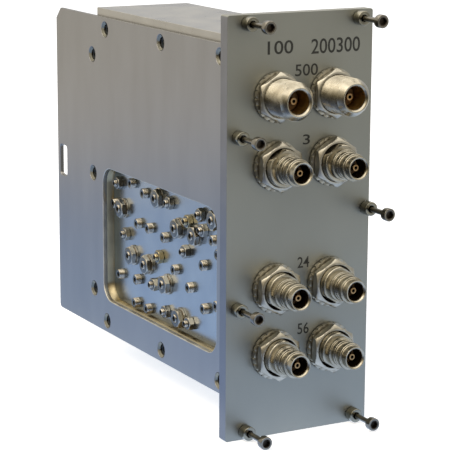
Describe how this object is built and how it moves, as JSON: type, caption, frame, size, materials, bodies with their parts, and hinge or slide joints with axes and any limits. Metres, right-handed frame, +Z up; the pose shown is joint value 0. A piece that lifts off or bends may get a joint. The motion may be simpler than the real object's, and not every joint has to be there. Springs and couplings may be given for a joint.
{
  "type": "rf combiner module",
  "caption": "Slim rack module with coaxial jacks and captive screws on its front panel, a milled filter housing behind it and a side plate with a window onto tuning screws.",
  "frame": {"origin": "Rear face of the front panel, midway across it, at the height of the lower row of captive screws, where the panel meets the lower rail of the rack.", "axes": "+Z up as mounted, +Y into the rack, square to the panel, +X to the right seen from the front."},
  "size_m": [0.07, 0.2078, 0.177],
  "materials": {
    "panel_metal": "fine blasted and anodised, grey",
    "satin_aluminium": "satin sheet, faintly grained",
    "milled_aluminium": "milled, passivated",
    "silvered_metal": "silver plated, smooth",
    "nickel_plate": "nickel plated, bright",
    "stainless_steel": "plain stainless steel",
    "ivory_plastic": "turned insulating plastic, ivory",
    "gold_plate": "gold plated"
  },
  "bodies": {
    "module": {"front_panel": "panel_metal", "side_plate": "satin_aluminium", "filter_housing": "milled_aluminium", "tuning_cover": "silvered_metal", "screw_sleeve_top_left": "nickel_plate", "screw_sleeve_top_right": "nickel_plate", "screw_sleeve_upper_left": "nickel_plate", "screw_sleeve_middle_right": "nickel_plate", "screw_sleeve_lower_left": "nickel_plate", "screw_sleeve_bottom_left": "nickel_plate", "screw_sleeve_bottom_right": "nickel_plate", "jack_body_antenna_left": "nickel_plate", "lock_washer_antenna_left": "stainless_steel", "jack_nut_antenna_left": "nickel_plate", "insulator_antenna_left": "ivory_plastic", "contact_antenna_left": "gold_plate", "jack_body_antenna_right": "nickel_plate", "lock_washer_antenna_right": "stainless_steel", "jack_nut_antenna_right": "nickel_plate", "insulator_antenna_right": "ivory_plastic", "contact_antenna_right": "gold_plate", "jack_body_upper_left": "nickel_plate", "lock_washer_upper_left": "stainless_steel", "jack_nut_upper_left": "nickel_plate", "insulator_upper_left": "ivory_plastic", "contact_upper_left": "gold_plate", "jack_body_upper_right": "nickel_plate", "lock_washer_upper_right": "stainless_steel", "jack_nut_upper_right": "nickel_plate", "insulator_upper_right": "ivory_plastic", "contact_upper_right": "gold_plate", "jack_body_middle_left": "nickel_plate", "lock_washer_middle_left": "stainless_steel", "jack_nut_middle_left": "nickel_plate", "insulator_middle_left": "ivory_plastic", "contact_middle_left": "gold_plate", "jack_body_middle_right": "nickel_plate", "lock_washer_middle_right": "stainless_steel", "jack_nut_middle_right": "nickel_plate", "insulator_middle_right": "ivory_plastic", "contact_middle_right": "gold_plate", "jack_body_lower_left": "nickel_plate", "lock_washer_lower_left": "stainless_steel", "jack_nut_lower_left": "nickel_plate", "insulator_lower_left": "ivory_plastic", "contact_lower_left": "gold_plate", "jack_body_lower_right": "nickel_plate", "lock_washer_lower_right": "stainless_steel", "jack_nut_lower_right": "nickel_plate", "insulator_lower_right": "ivory_plastic", "contact_lower_right": "gold_plate"},
    "screw_top_left": {"captive_screw_top_left": "stainless_steel"},
    "screw_top_right": {"captive_screw_top_right": "stainless_steel"},
    "screw_upper_left": {"captive_screw_upper_left": "stainless_steel"},
    "screw_middle_right": {"captive_screw_middle_right": "stainless_steel"},
    "screw_lower_left": {"captive_screw_lower_left": "stainless_steel"},
    "screw_bottom_left": {"captive_screw_bottom_left": "stainless_steel"},
    "screw_bottom_right": {"captive_screw_bottom_right": "stainless_steel"}
  },
  "joints": [
    {"name": "push_top_left", "type": "slide", "parent": "module", "child": "screw_top_left", "axis": [0, 1, 0], "range_m": [0, 0.0105]},
    {"name": "push_top_right", "type": "slide", "parent": "module", "child": "screw_top_right", "axis": [0, 1, 0], "range_m": [0, 0.0105]},
    {"name": "push_upper_left", "type": "slide", "parent": "module", "child": "screw_upper_left", "axis": [0, 1, 0], "range_m": [0, 0.0105]},
    {"name": "push_middle_right", "type": "slide", "parent": "module", "child": "screw_middle_right", "axis": [0, 1, 0], "range_m": [0, 0.0105]},
    {"name": "push_lower_left", "type": "slide", "parent": "module", "child": "screw_lower_left", "axis": [0, 1, 0], "range_m": [0, 0.0105]},
    {"name": "push_bottom_left", "type": "slide", "parent": "module", "child": "screw_bottom_left", "axis": [0, 1, 0], "range_m": [0, 0.0105]},
    {"name": "push_bottom_right", "type": "slide", "parent": "module", "child": "screw_bottom_right", "axis": [0, 1, 0], "range_m": [0, 0.0105]}
  ]
}
